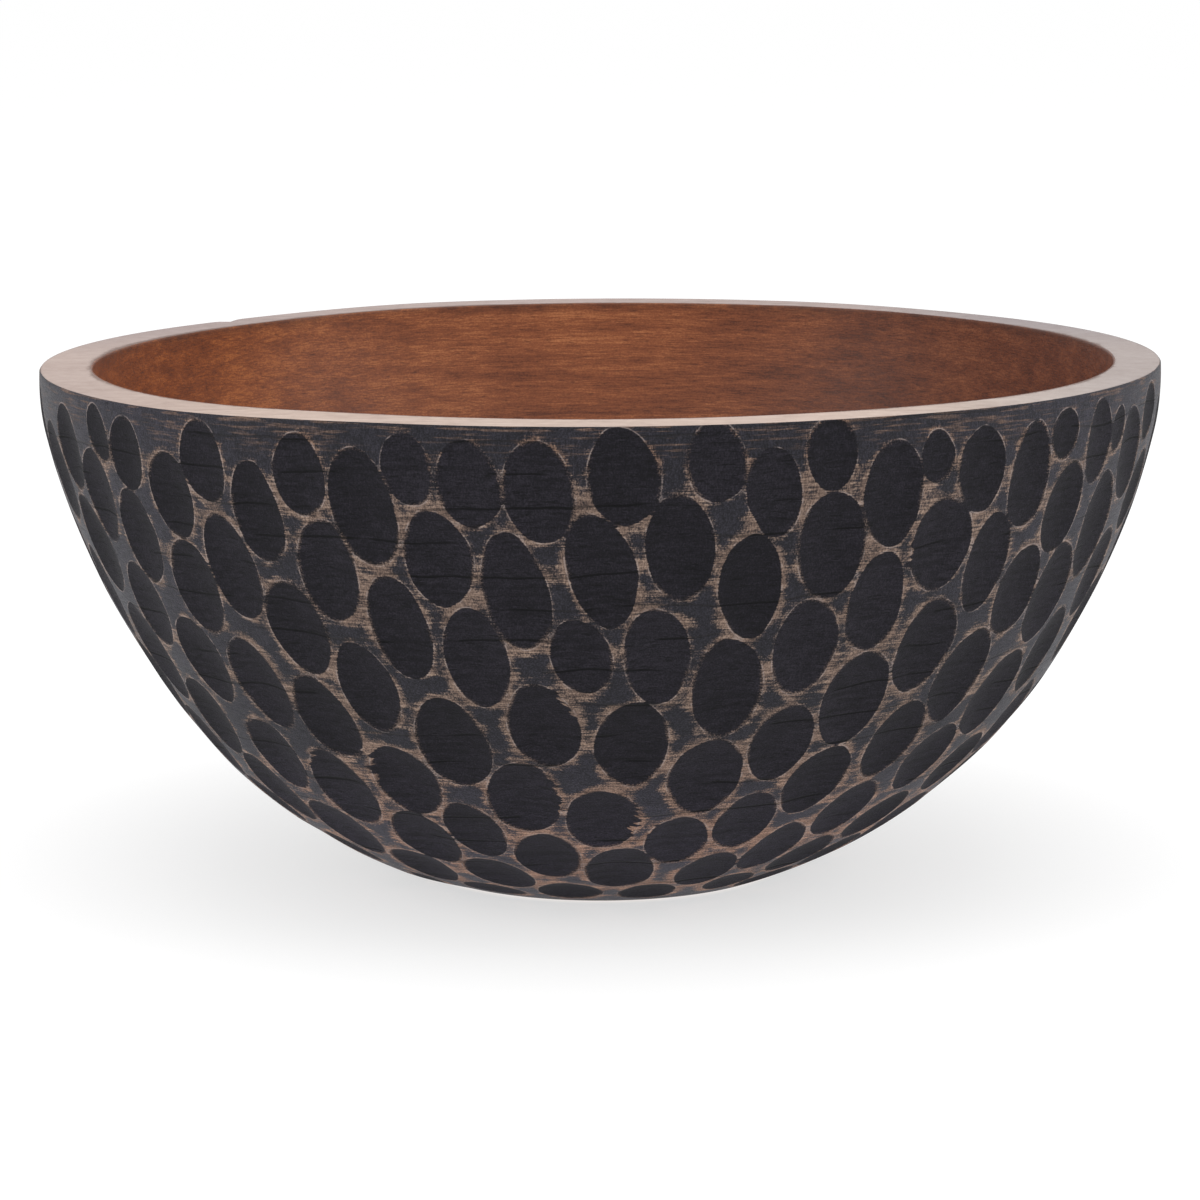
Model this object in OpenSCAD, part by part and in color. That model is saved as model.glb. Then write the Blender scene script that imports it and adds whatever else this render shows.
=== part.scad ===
// Carved wooden bowl: one turned and hand-hollowed block of wood, stained
// black outside and lacquered red-brown inside. The flat rim and the flat
// foot are bare, sanded wood.
// Millimetres, +Z up, origin at the centre of the foot's underside.

/* [Overall size] */
// Nominal diameter, measured at the outer edge of the rim
bowl_d = 300; // [240:5:360]
// Diameter of the flat foot that the bowl stands on
foot_d = 100; // [80:1:110]

/* [Rim and hollow] */
// Width of the flat rim, which is the wall thickness at the top
rim_w = 14.5; // [12:0.5:16]
// How far the hand-cut hollow sits off the centre of the outside, towards +X
hollow_offset = 1.5; // [0:0.25:2]
// Lean of the inner wall at the rim, in degrees from vertical
inner_lean = 4; // [2:0.5:6]

/* [Finish layers] */
// Depth to which the black stain colours the outside of the wall
stain_t = 0.4; // [0.3:0.05:0.8]
// Bare edge sanded back below the rim's outer corner
rim_bare = 1; // [0.5:0.25:3]
// Bare edge sanded back above the foot
foot_bare = 1.5; // [1:0.25:4]
// Thickness of the lacquered layer that lines the hollow
lacquer_t = 0.4; // [0.3:0.05:0.8]

/* [Hidden] */
$fn = 180;

// Heights in the sections below are counted down from the rim's plane, which
// is 0, and each solid is then lifted by bowl_h so that the foot is at Z 0.

// The outside is three tangent arcs, from the rim down to the foot. Each is
// given by its radius and by the angles, below horizontal, of the surface's
// normal at its two ends. The first starts 4 degrees above horizontal, so the
// wall swells by a hair under the rim before it turns in.
k = bowl_d / 300;
rim_r = bowl_d / 2;
out_t = [-4, 12, 40];
out_r = [70 * k, 182 * k, 138 * k];

// The hollow is three tangent arcs too: a long wall, a tight turn into the
// bottom, and a nearly flat floor whose arc is centred on the axis.
in_t = [inner_lean, 48, 78, 90];
in_r = [155 * k, 65 * k];
in_rim_r = rim_r - rim_w;

// Unit vector along the surface's normal, t degrees below horizontal
function nrm(t) = [cos(t), -sin(t)];

// n + 1 points along an arc about c, from normal ta to normal tb
function arc(c, r, ta, tb, n) = [for (i = [0:n]) c + r * nrm(ta + (tb - ta) * i / n)];

// The normal's angle at height z on an arc about c
function angle_at(c, r, z) = asin((c[1] - z) / r);

// The same list, last point first
function flip(p) = [for (i = [len(p) - 1:-1:0]) p[i]];

// All but the first point
function rest(p) = [for (i = [1:len(p) - 1]) p[i]];

// Centres and joints of the outside arcs
oc0 = [rim_r, 0] - out_r[0] * nrm(out_t[0]);
op1 = oc0 + out_r[0] * nrm(out_t[1]);
oc1 = op1 - out_r[1] * nrm(out_t[1]);
op2 = oc1 + out_r[1] * nrm(out_t[2]);
oc2 = op2 - out_r[2] * nrm(out_t[2]);

// The bowl ends where the last outside arc has come in to the foot's radius
bowl_h = sqrt(pow(out_r[2], 2) - pow(foot_d / 2 - oc2[0], 2)) - oc2[1];

// Centres and joints of the hollow's arcs
ic0 = [in_rim_r, 0] - in_r[0] * nrm(in_t[0]);
ip1 = ic0 + in_r[0] * nrm(in_t[1]);
ic1 = ip1 - in_r[1] * nrm(in_t[1]);
ip2 = ic1 + in_r[1] * nrm(in_t[2]);
floor_r = ip2[0] / cos(in_t[2]);
floor_z = ip2[1] + floor_r * sin(in_t[2]);

// The outside from height z_top down to height z_bottom, drawn in by inset
// along its own normals
function outside(inset, z_top, z_bottom) = concat(
    arc(oc0, out_r[0] - inset, angle_at(oc0, out_r[0] - inset, z_top), out_t[1], 6),
    rest(arc(oc1, out_r[1] - inset, out_t[1], out_t[2], 12)),
    rest(arc(oc2, out_r[2] - inset, out_t[2], angle_at(oc2, out_r[2] - inset, z_bottom), 12))
);

// The hollow from height z_top down to the axis, let out by grow along its
// own normals
function inside(grow, z_top) = concat(
    arc(ic0, in_r[0] + grow, angle_at(ic0, in_r[0] + grow, z_top), in_t[1], 14),
    rest(arc(ic1, in_r[1] + grow, in_t[1], in_t[2], 8)),
    rest(arc([0, floor_z], floor_r + grow, in_t[2], 89, 6)),
    [[0, floor_z - floor_r - grow]]
);

// The block's half section, with the stained layer's depth taken off between
// the two bare edges
module body_section() {
    polygon(concat(
        [[0, -bowl_h], [0, 0], [rim_r, 0]],
        arc(oc0, out_r[0], angle_at(oc0, out_r[0], -rim_bare / 2), angle_at(oc0, out_r[0], -rim_bare), 1),
        outside(stain_t, -rim_bare, foot_bare - bowl_h),
        arc(oc2, out_r[2], angle_at(oc2, out_r[2], foot_bare - bowl_h), angle_at(oc2, out_r[2], -bowl_h), 2)
    ));
}

// The stained layer's half section
module stain_section() {
    polygon(concat(
        outside(0, -rim_bare, foot_bare - bowl_h),
        flip(outside(stain_t, -rim_bare, foot_bare - bowl_h))
    ));
}

// The wooden wall: the whole thickness except its two finish layers
module bowl_body() {
    color("#c9a27a") translate([0, 0, bowl_h]) difference() {
        rotate_extrude() body_section();
        translate([hollow_offset, 0, 0]) rotate_extrude() polygon(concat([[0, 1]], inside(lacquer_t, 1)));
    }
}

// The black layer on the outside, from just above the foot to just under the rim
module exterior_black_stain() {
    color("#2d2b31") translate([0, 0, bowl_h]) rotate_extrude() stain_section();
}

// The red-brown lacquered layer that lines the hollow up to the rim
module interior_lacquer() {
    color("#8a4a2c") translate([hollow_offset, 0, bowl_h]) rotate_extrude()
        polygon(concat(inside(0, 0), flip(inside(lacquer_t, 0))));
}

bowl_body();
exterior_black_stain();
interior_lacquer();
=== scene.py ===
"""Looks for the carved wooden bowl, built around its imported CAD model.

Lengths in the shape code are millimetres; meshes are written in metres.
A place on the outside is (phi, s): phi is the angle round the axis, 0 at the
front (-Y) and growing towards +X, and s is the distance from the rim's outer
corner, measured down along the wall.
"""

import math

import bpy
import numpy as np
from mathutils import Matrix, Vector
from mathutils.geometry import delaunay_2d_cdt


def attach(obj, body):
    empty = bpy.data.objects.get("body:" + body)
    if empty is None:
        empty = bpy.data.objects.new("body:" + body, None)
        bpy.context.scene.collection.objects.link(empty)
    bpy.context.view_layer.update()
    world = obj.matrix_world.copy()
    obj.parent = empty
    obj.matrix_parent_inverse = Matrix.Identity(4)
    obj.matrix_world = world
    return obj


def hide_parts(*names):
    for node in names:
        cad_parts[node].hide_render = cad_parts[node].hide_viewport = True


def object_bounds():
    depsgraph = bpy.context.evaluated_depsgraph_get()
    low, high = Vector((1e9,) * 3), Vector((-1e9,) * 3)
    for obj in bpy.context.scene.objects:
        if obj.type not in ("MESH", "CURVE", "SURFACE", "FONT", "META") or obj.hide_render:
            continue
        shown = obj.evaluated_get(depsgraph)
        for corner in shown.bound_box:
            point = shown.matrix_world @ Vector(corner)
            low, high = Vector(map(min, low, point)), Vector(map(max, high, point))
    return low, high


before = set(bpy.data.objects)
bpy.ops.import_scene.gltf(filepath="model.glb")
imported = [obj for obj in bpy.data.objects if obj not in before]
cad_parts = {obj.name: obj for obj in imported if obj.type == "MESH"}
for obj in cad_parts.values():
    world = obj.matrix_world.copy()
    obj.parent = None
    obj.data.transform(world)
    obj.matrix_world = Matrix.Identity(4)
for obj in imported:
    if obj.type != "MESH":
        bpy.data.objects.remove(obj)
CAD_LO, CAD_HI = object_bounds()
scene = bpy.context.scene

# ------------------------------------------------------------------ camera
cam_data = bpy.data.cameras.new("camera")
cam_data.sensor_width = 36.0
cam_data.lens = 120.54
cam_data.clip_start, cam_data.clip_end = 0.05, 60.0
cam = bpy.data.objects.new("camera", cam_data)
cam.location = (0.0, -1.0797, CAD_HI.z + 0.12228)
cam.rotation_euler = (math.pi / 2 - 0.17475, 0.0, 0.0)
scene.collection.objects.link(cam)
scene.camera = cam

# ----------------------------------------------------------------- profile
SEED = 20
D = math.radians
H = (CAD_HI.z - CAD_LO.z) * 1000
RIM_R = 150.0
FOOT_R = 50.0
HOLLOW_DX = 1.5
IN_R = 135.5


def chain(r0, arcs):
    """Tangent arcs from (r0, 0) down, each (radius, start, end) by its normal's
    angle below horizontal. Returns the arcs, their whole length and the end."""
    out, p, s = [], np.array([r0, 0.0]), 0.0
    for radius, t0, t1 in arcs:
        c = p - radius * np.array([math.cos(D(t0)), -math.sin(D(t0))])
        out.append((c, radius, D(t0), s))
        p = c + radius * np.array([math.cos(D(t1)), -math.sin(D(t1))])
        s += radius * D(t1 - t0)
    return out, s, p


_arcs, _, _ = chain(RIM_R, [(70, -4, 12), (182, 12, 40), (138, 40, 60)])
_end = math.degrees(math.acos((FOOT_R - _arcs[2][0][0]) / 138))
OUTER, S_END, _p = chain(RIM_R, [(70, -4, 12), (182, 12, 40), (138, 40, _end)])
_arcs, _, _j = chain(IN_R, [(155, 4, 48), (65, 48, 78)])
_floor = _j[0] / math.cos(D(78))
INNER, I_END, _q = chain(IN_R, [(155, 4, 48), (65, 48, 78), (_floor, 78, 90)])


def section(arcs, s):
    """Radius, height (0 at the rim) and the normal's angle at distance s."""
    s = np.asarray(s, float)
    r, z, t = np.zeros_like(s), np.zeros_like(s), np.zeros_like(s)
    for k, (c, radius, t0, s0) in enumerate(arcs):
        m = (s >= s0) if k else np.ones_like(s, bool)
        a = t0 + (s - s0) / radius
        r = np.where(m, c[0] + radius * np.cos(a), r)
        z = np.where(m, c[1] - radius * np.sin(a), z)
        t = np.where(m, a, t)
    return r, z, t


RS = np.linspace(0, S_END, 800)
RR = section(OUTER, RS)[0]


def rad(s):
    return np.interp(s, RS, RR)


def wrap(a):
    return (a + math.pi) % (2 * math.pi) - math.pi


# ------------------------------------------------------- where the gouges are
# (angle round, distance from the rim, half width, half length, lean) of the
# gouge hollows on the front half: degrees and millimetres. Positive lean puts
# the lower end towards +X. The rest of the wall is filled by rule, below.
FRONT_GOUGES = [
    (-65.5, 16.1, 8.1, 12.2, 10), (-57, 9.6, 5, 8.5, 28), (-52, 13.5, 7.2, 10.2, 2), (-40.5, 12.7, 7.7, 11.7, 10),
    (-28.8, 14, 7.1, 10.7, 5), (-17.8, 11.4, 6.1, 9.1, 13), (-12, 14.7, 7.6, 11, 11), (-5.5, 16.4, 8.6, 13.4, 8),
    (2.1, 12.6, 8.6, 12.3, 8), (10.7, 9.4, 7.4, 10.2, 7), (16, 17, 7, 11.8, 10), (21.5, 8.4, 6.4, 9.1, 6),
    (32.8, 10.9, 4.8, 6.6, 6), (38.4, 15.5, 7.6, 11, 7), (50.1, 9.3, 5.7, 6.5, -13), (56.9, 13.2, 6.5, 11.1, 0),
    (60.9, 11.1, 3.8, 6.1, -13), (71.3, 9.7, 6.5, 7.9, -34), (-72, 25.4, 9.8, 14.8, 8), (-59.5, 27.1, 8.2, 14, -4),
    (-45.3, 22.5, 8.3, 13, 2), (-34.2, 25, 7.2, 13.8, 5), (-22.5, 22, 8.4, 15.8, 10), (28.3, 19.6, 8.2, 13.7, 4),
    (45.3, 18.8, 7.5, 14, 1), (52.1, 29.2, 8.1, 12.4, -2), (65.7, 19.3, 7.9, 13.1, 16), (-53, 37.1, 7.8, 13.5, -2),
    (-39.1, 41.4, 8, 14.9, 6), (-27.3, 40.2, 8.4, 14.8, 0), (-15.4, 34.6, 8.3, 12.9, 6), (0.1, 36.6, 8.3, 16, 13),
    (7.5, 31, 8.2, 14, 6), (22.4, 31.7, 8.8, 14.2, 4), (34.9, 34.1, 9.1, 12.5, 6), (41.7, 40.9, 7.1, 13.7, 0),
    (60.8, 36.8, 8.3, 14.8, 5), (72.1, 31.4, 8, 11.3, -16), (-64.9, 43.8, 9.2, 13.8, 8),
    (-45.6, 49.2, 8.3, 13.5, -2), (-8.1, 43, 7.8, 16.1, 9), (14.6, 42, 7.7, 14.2, 4), (28.4, 48.7, 7.6, 13.8, 1),
    (48.2, 51.4, 8.1, 12.9, 4), (66.7, 52.8, 7.7, 13, 1), (-70.9, 61.5, 7.8, 14.8, 0), (-57.2, 58.8, 8.3, 12.6, -6),
    (-32.5, 57, 8.9, 14, 6), (-20.4, 54.2, 7.5, 14.7, 8), (-12.7, 62.3, 7.8, 14.6, 4), (-1.9, 61.1, 7.2, 10.8, 12),
    (5.8, 61.2, 7.9, 14, 5), (21.4, 60.3, 8.2, 13.8, 1), (36.6, 63.6, 8.8, 13.9, 0), (55.3, 54.5, 8.6, 14.6, 4),
    (-63.3, 75.6, 9.6, 15.2, 3), (-50.1, 72.6, 8.6, 13, 2), (-41.5, 76.5, 8.4, 14, 6), (-25.9, 73.7, 7.8, 13.7, 4),
    (13.6, 71.4, 8.7, 15.2, 4), (44.3, 75.5, 8.7, 14.6, 0), (61.5, 74.2, 7.7, 13.1, 2), (-33.3, 85, 8.4, 13.4, 8),
    (-17.4, 90.1, 9.3, 15.2, 2), (-6.3, 83.2, 8.7, 13.6, 9), (29.3, 78, 9, 15.1, 2), (53.7, 85, 9.1, 13.8, -2),
    (-56.8, 93.9, 8.3, 13, -9), (3.7, 89.5, 8.9, 14.5, 0), (21.7, 91.1, 8.2, 13.2, 0), (38.4, 94.8, 8, 13.4, -2),
    (65.9, 99, 8.3, 12.8, -8), (-65.4, 106.4, 8, 13.2, 4), (-45.9, 102.3, 8.1, 12.5, -2),
    (-36.7, 112.1, 8.7, 14.8, -3), (-25.6, 105.9, 9.1, 13, 0), (-10, 110.2, 9.2, 14.3, -4),
    (13.2, 102.1, 9.2, 14.2, 0), (29.1, 106.9, 8.4, 13.1, -4), (47.5, 104.9, 8.1, 12.2, -1),
    (58.1, 111.9, 8.1, 11.5, 0), (-53.5, 119.4, 7.9, 14, 4), (0.3, 119.2, 9, 13.3, 0), (21.2, 122.5, 7.7, 13.1, 1),
    (38.5, 122.8, 7.9, 12.3, -1), (-61.3, 127.6, 6.5, 9.8, 20), (-44.9, 133.4, 8.9, 14, 0),
    (-28.2, 132, 8.4, 13.5, 0), (-18.7, 126.1, 7.3, 13.2, 5), (11.8, 130.4, 8, 12.3, 5), (49.4, 131.2, 8.5, 11, -10),
    (-53.6, 148.3, 5.6, 8.8, 24), (-8.6, 139.3, 8.3, 13.5, 0), (3.5, 147.6, 8.8, 14.1, 0),
    (30.2, 139.1, 7.2, 13.5, -4), (40.6, 148.3, 7.9, 11.5, -9), (-35.8, 151.9, 8.3, 11.5, -4),
    (-19.7, 152.8, 8.1, 11.6, 17), (20.2, 150.6, 7.4, 12.3, -3), (-26.2, 169.3, 6.3, 8.3, 56),
    (-7.1, 167.9, 8.3, 9.2, -3), (11.4, 168.9, 7.5, 8.8, 3), (30.4, 164.9, 6.8, 8.4, 16),
    (-44.5, 167.2, 4.7, 5.8, 0), (-132, 7, 7, 8.4, 0),
]
# Where the gouge tore the wood instead of cutting it clean: (angle, distance,
# reach in mm).
TORN = [(-8.4, 104.0, 7.0), (-7.6, 110.0, 6.0), (5.6, 117.0, 6.0), (4.7, 122.0, 5.0), (-4.6, 76.5, 5.0),
        (-37.5, 103.0, 6.0), (-30.5, 101.0, 6.0), (-47.0, 94.5, 4.0), (32.0, 36.0, 4.0)]


def local(phi, s, e):
    dy = s - e[..., 1]
    dx = wrap(phi - e[..., 0]) * rad(e[..., 1] + dy / 2)
    ct, st = np.cos(e[..., 4]), np.sin(e[..., 4])
    return dx * ct - dy * st, dx * st + dy * ct


def lumps(th, e):
    """How far each gouge's outline strays from a plain oval, as a factor."""
    return 1 + e[..., 6] * np.cos(3 * th + e[..., 7]) + 0.5 * e[..., 6] * np.cos(4 * th + 2.3 * e[..., 7]) + 0.35 * e[..., 6] * np.cos(7 * th - e[..., 7])


def gouge_dist(phi, s, e):
    """Relative radius (1 at the gouge's edge) and distance from its edge, mm."""
    pa, pb = local(phi, s, e)
    w = e[..., 2] * (1 + e[..., 5] * np.clip(pb / e[..., 3], -1.3, 1.3))
    q = np.sqrt((pa / w) ** 2 + (pb / e[..., 3]) ** 2) + 1e-9
    g = np.sqrt((pa / w**2) ** 2 + (pb / e[..., 3] ** 2) ** 2) / q
    k = lumps(np.arctan2(pb / e[..., 3], pa / w), e)
    return q / k, (q / k - 1) * k / np.maximum(g, 1e-6)


def gouge_ring(e, n, q=1.0, shift=0.0, out=0.0):
    """n points round each gouge at relative radius q, plus out millimetres."""
    th = (np.arange(n) + shift) * 2 * math.pi / n
    b = e[..., 3, None]
    sb, cb = np.sin(th), np.cos(th)
    q = q * lumps(th, e[..., None, :])
    w = e[..., 2, None] * (1 + e[..., 5, None] * np.clip(q * sb, -1.3, 1.3))
    nx, ny = cb / w, sb / b
    nl = np.hypot(nx, ny)
    pa, pb = q * w * cb + out * nx / nl, q * b * sb + out * ny / nl
    ct, st = np.cos(e[..., 4, None]), np.sin(e[..., 4, None])
    dx, dy = pa * ct + pb * st, -pa * st + pb * ct
    return e[..., 0, None] + dx / rad(e[..., 1, None] + dy / 2), e[..., 1, None] + dy


def near(e, k=9):
    m = rad((e[:, None, 1] + e[None, :, 1]) / 2)
    dx, dy = wrap(e[None, :, 0] - e[:, None, 0]) * m, e[None, :, 1] - e[:, None, 1]
    u = np.hypot(dx / (e[:, None, 2] + e[None, :, 2]), dy / (e[:, None, 3] + e[None, :, 3]))
    np.fill_diagonal(u, 99)
    return np.argsort(u, 1, kind="stable")[:, :k]


def spread(e, free, a0, b0, rounds, want, grow):
    """Pushes gouges apart until no ridge is thinner than want."""
    for it in range(rounds):
        if it % 8 == 0:
            nb = near(e)
        px, py = gouge_ring(e, 28)
        d = gouge_dist(px[:, None, :], py[:, None, :], e[nb][:, :, None, :])[1].min(1)
        w = np.clip(want - d, 0, 4)
        cx, cy = wrap(px - e[:, None, 0]) * rad(e[:, 1])[:, None], py - e[:, None, 1]
        nl = np.hypot(cx, cy)
        fx = -(w * cx / nl).max(1) - (w * cx / nl).min(1)
        fy = -(w * cy / nl).max(1) - (w * cy / nl).min(1)
        mob = np.where(free, 0.45, 0.04)
        e[:, 0] += mob * fx / rad(e[:, 1])
        e[:, 1] += mob * fy
        lack, room = w.max(1), d.min(1)
        sc = np.where(lack > 0.15, 1 - 0.006 * np.clip(lack, 0, 2), np.where(free & (room > want + 0.2) & grow, 1.008, 1.0))
        lim = np.where(free, 1.18, 1.0)
        e[:, 2] = np.clip(e[:, 2] * sc, a0 * 0.78, a0 * lim)
        e[:, 3] = np.clip(e[:, 3] * sc, b0 * 0.78, b0 * lim)
        e[:, 1] = np.where(free, np.clip(e[:, 1], e[:, 3] + 1.0, S_END - 1.8 - e[:, 3]), e[:, 1])
    return e


def layout():
    """All gouges, as [angle, distance, half width, half length, lean, egg, lump, phase]."""
    rng = np.random.default_rng(SEED)
    t = np.array(FRONT_GOUGES, float)
    n0 = len(t)
    e = np.column_stack([np.radians(t[:, 0]), t[:, 1], t[:, 2], t[:, 3], np.radians(t[:, 4]), rng.uniform(-0.05, 0.05, n0), rng.uniform(0.008, 0.03, n0), rng.uniform(0, 6.28, n0)])
    a0, b0 = e[:, 2].copy(), e[:, 3].copy()
    area = np.cumsum(RR) / RR.sum()
    for step, lim in enumerate([0.97, 0.86, 0.82, 0.79, 0.77, 0.75]):
        while True:
            m = 900
            ss, pp = np.interp(rng.random(m), area, RS), rng.uniform(-math.pi, math.pi, m)
            k = rng.uniform(0.92, 1.08, m)
            a = k * np.interp(ss, [8, 18, 40, 90, 130, 150, 168], [6.3, 7.7, 8.2, 8.6, 8.2, 8.0, 7.6])
            b = k * rng.uniform(0.93, 1.1, m) * np.interp(ss, [8, 18, 40, 90, 130, 150, 168], [7.6, 12.6, 14.0, 13.9, 12.8, 11.6, 8.6])
            top = b + rng.choice([1.5, 3.0, 5.0, 8.0], m, p=[0.3, 0.35, 0.25, 0.10])
            dx = wrap(pp[:, None] - e[None, :, 0]) * rad((ss[:, None] + e[None, :, 1]) / 2)
            dy = ss[:, None] - e[None, :, 1]
            u = np.hypot(dx / (a[:, None] + e[None, :, 2] + 1.2), dy / (b[:, None] + e[None, :, 3] + 1.2)).min(1)
            u[(ss < top) | (ss > S_END - 2.0 - b)] = 0
            if u.max() < lim:
                break
            j = int(np.argmax(u)) if step else int(np.argmin(np.where(u >= lim, u, 9)))
            lean = D(rng.normal(4, 6)) if ss[j] < 100 else D(rng.normal(0, 8))
            e = np.vstack([e, [pp[j], ss[j], a[j], b[j], lean, rng.uniform(-0.08, 0.08), rng.uniform(0.008, 0.035), rng.uniform(0, 6.28)]])
            a0, b0 = np.append(a0, a[j]), np.append(b0, b[j])
        free = np.arange(len(e)) >= n0
        e = spread(e, free, a0, b0, 50, 0.35, False)
    return spread(e, free, a0, b0, 120, 0.35, True)


GOUGES = layout()
NG = len(GOUGES)
DEEP = np.minimum(GOUGES[:, 2] ** 2 / 50.0, 1.6)


def waves(phi, table):
    """A smooth closed wobble round the axis: (turns, size, phase) terms."""
    return sum(k * np.sin(n * phi + p) for n, k, p in table)


def grid_neighbours(phi, s, k=6):
    """The k gouges nearest each point."""
    out = np.zeros((len(phi), k), int)
    for i in range(0, len(phi), 4000):
        m = slice(i, i + 4000)
        dx = wrap(phi[m, None] - GOUGES[None, :, 0]) * rad((s[m, None] + GOUGES[None, :, 1]) / 2)
        dy = s[m, None] - GOUGES[None, :, 1]
        u = np.hypot(dx / GOUGES[None, :, 2], dy / GOUGES[None, :, 3])
        out[m] = np.argpartition(u, k, 1)[:, :k]
    return out


def carved(phi, s):
    """Depth of cut, distance from the nearest gouge's edge, and that gouge."""
    nb = grid_neighbours(phi, s)
    e = GOUGES[nb]
    q, d = gouge_dist(phi[:, None], s[:, None], e)
    depth = np.where(q < 1, DEEP[nb] * (1 - q**2), 0.0)
    j = np.argmin(d, 1)
    row = np.arange(len(phi))
    return depth.max(1), d[row, j], nb[row, j]


# ------------------------------------------------------------ mesh building
# The wall is opened out onto a flat ring that keeps its angles, so that a flat
# triangulation makes well shaped triangles on the wall.
_rho = np.exp(-np.concatenate([[0], np.cumsum((RS[1:] - RS[:-1]) * 2 / (RR[1:] + RR[:-1]))]))


def flatten(phi, s):
    k = np.interp(s, RS, _rho)
    return np.column_stack([k * np.cos(phi), k * np.sin(phi)])


def triangulate(flat, edges, hole, inner):
    """Triangles on the flat points, keeping edges, outside the inner ring,
    whose points are numbered inner and lie at the hole radius."""
    v, _, f, vo, _, _ = delaunay_2d_cdt([Vector(p) for p in flat], edges, [], 0, 1e-9, True)
    co = np.array([tuple(p) for p in v])
    src = np.array([o[0] if len(o) else -1 for o in vo])
    f = np.array([t for t in f if len(t) == 3])
    mid = np.hypot(*co[f].mean(1).T)
    f = f[(mid > hole * 0.98) & ~np.isin(src[f], inner).all(1)]
    a = co[f]
    ar = (a[:, 1, 0] - a[:, 0, 0]) * (a[:, 2, 1] - a[:, 0, 1]) - (a[:, 2, 0] - a[:, 0, 0]) * (a[:, 1, 1] - a[:, 0, 1])
    f = f[np.abs(ar) > 1e-11]
    ar = ar[np.abs(ar) > 1e-11]
    f[ar < 0] = f[ar < 0][:, ::-1]
    return co, src, f


def make_mesh(name, co_mm, faces, attrs=None, sharp=None):
    """A mesh object from points in millimetres, with named point values."""
    me = bpy.data.meshes.new(name)
    me.from_pydata((np.asarray(co_mm) / 1000.0).tolist(), [], [list(map(int, f)) for f in faces])
    for key, values in (attrs or {}).items():
        at = me.attributes.new(key, "FLOAT", "POINT")
        at.data.foreach_set("value", np.asarray(values, np.float32))
    me.polygons.foreach_set("use_smooth", np.ones(len(me.polygons), bool))
    if sharp:
        flag = np.zeros(len(me.edges), bool)
        ev = np.zeros(len(me.edges) * 2, int)
        me.edges.foreach_get("vertices", ev)
        ev = np.sort(ev.reshape(-1, 2), 1)
        for i, (a, b) in enumerate(ev):
            if (a, b) in sharp:
                flag[i] = True
        at = me.attributes.new("sharp_edge", "BOOLEAN", "EDGE")
        at.data.foreach_set("value", flag)
    me.update()
    me.validate()
    ob = bpy.data.objects.new(name, me)
    scene.collection.objects.link(ob)
    return ob


def ease(v, lo, hi):
    """Smooth change from 0 at v = lo to 1 at v = hi."""
    k = np.clip((np.asarray(v, float) - lo) / (hi - lo), 0, 1)
    return k * k * (3 - 2 * k)


def rim_z(x):
    """The rim is sanded a little out of level: lower towards -X, and at its ends."""
    return -(150.0 - x) * 0.0058 - 1.1 * ease(x, -50, -120) - 0.45 * ease(x, 60, 120)


def fullness(phi, s):
    """How far the wall stands out from its smooth section, in mm: the bowl is
    a little fuller low down on its left."""
    left = ease(-np.sin(phi), 0.15, 0.85) * np.clip(0.6 + np.cos(phi), 0, 1)
    right = ease(np.sin(phi), 0.4, 0.9)
    return 1.2 * left * ease(s, 78, 125) * ease(s, S_END - 1, S_END - 15) + 0.7 * right * np.exp(-(((s - 98) / 18.0) ** 2))


def place(phi, s, depth):
    """Points of the outside wall, cut depth mm in along its normal, in mm."""
    r, z, t = section(OUTER, s)
    depth = depth - fullness(phi, s)
    r = r - depth * np.cos(t)
    z = z + depth * np.sin(t)
    x, y = r * np.sin(phi), -r * np.cos(phi)
    z = z + rim_z(x) * ease(s, 45, 0)
    z = z - 0.5 * np.exp(-((wrap(phi - D(-133.0)) * 150 / 2.4) ** 2)) * ease(s, 2.5, 0)
    return np.column_stack([x, y, z + H])

# --------------------------------------------------- the carved, stained wall
S_STAIN = S_END - 1.2
N_TOP, N_FOOT, N_IN = 960, 360, 480

pts_phi, pts_s, edges = [], [], []
count = 0


def add(phi, s):
    """Adds points; returns their numbers."""
    global count
    phi, s = np.atleast_1d(phi), np.atleast_1d(s)
    pts_phi.append(wrap(np.asarray(phi, float)))
    pts_s.append(np.asarray(s, float))
    ids = np.arange(count, count + len(phi))
    count += len(phi)
    return ids


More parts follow.
